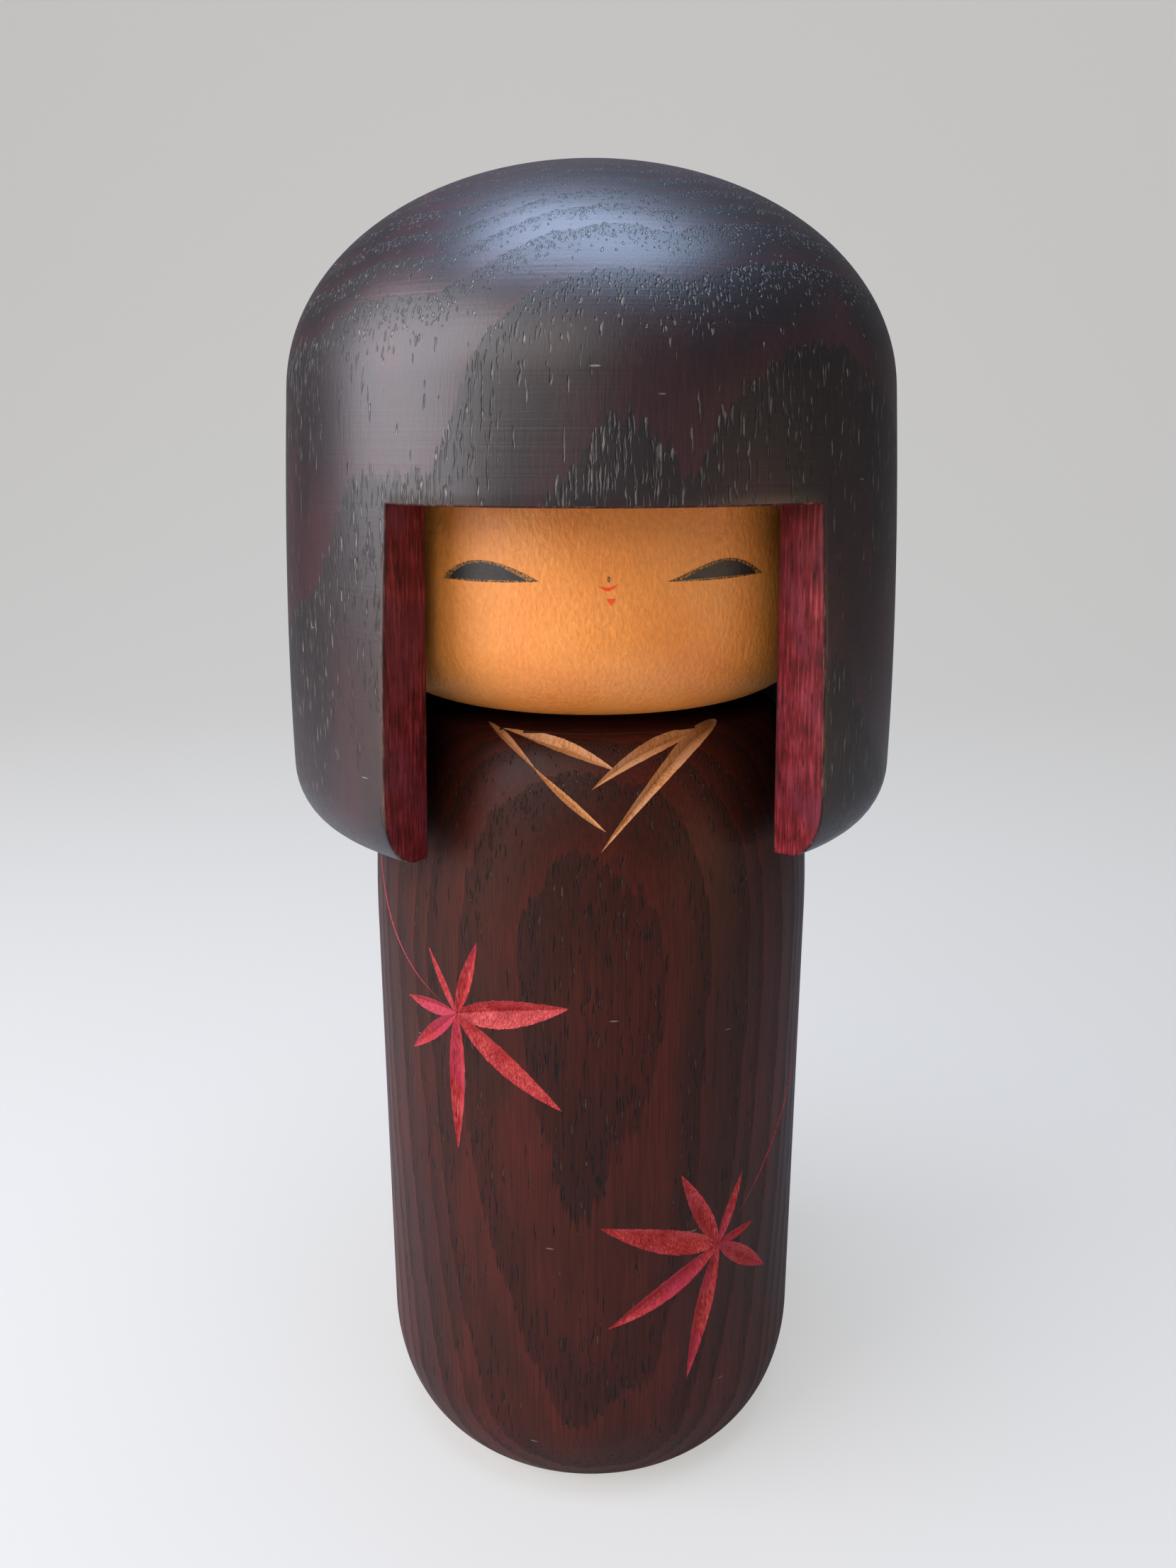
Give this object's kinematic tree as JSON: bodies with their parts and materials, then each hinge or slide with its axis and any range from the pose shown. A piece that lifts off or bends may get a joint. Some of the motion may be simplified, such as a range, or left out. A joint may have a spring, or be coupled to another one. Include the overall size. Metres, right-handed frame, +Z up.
{
  "type": "kokeshi doll",
  "caption": "Turned wooden doll with a hollow bell of hair round a face block; the head turns on a hidden dowel in the body.",
  "frame": {"origin": "centre of the underside that the doll stands on", "axes": "+Z up along the turning axis, -Y the way the face looks, +X the doll's own left"},
  "size_m": [0.12, 0.1182, 0.26],
  "materials": {
    "stained_body_wood": "dark brown stain under satin lacquer",
    "plain_dowel_wood": "bare turned wood",
    "lacquered_face_wood": "amber lacquer with a fine wrinkle",
    "stained_hood_wood": "black-brown stain under satin lacquer"
  },
  "bodies": {
    "torso": {"body": "stained_body_wood", "neck_dowel": "plain_dowel_wood"},
    "head": {"hair_hood": "stained_hood_wood", "face_block": "lacquered_face_wood"}
  },
  "joints": [
    {"name": "head_turn", "type": "hinge", "parent": "torso", "child": "head", "pos_m": [0, 0, 0.165], "axis": [0, 0, 1], "continuous": true}
  ]
}
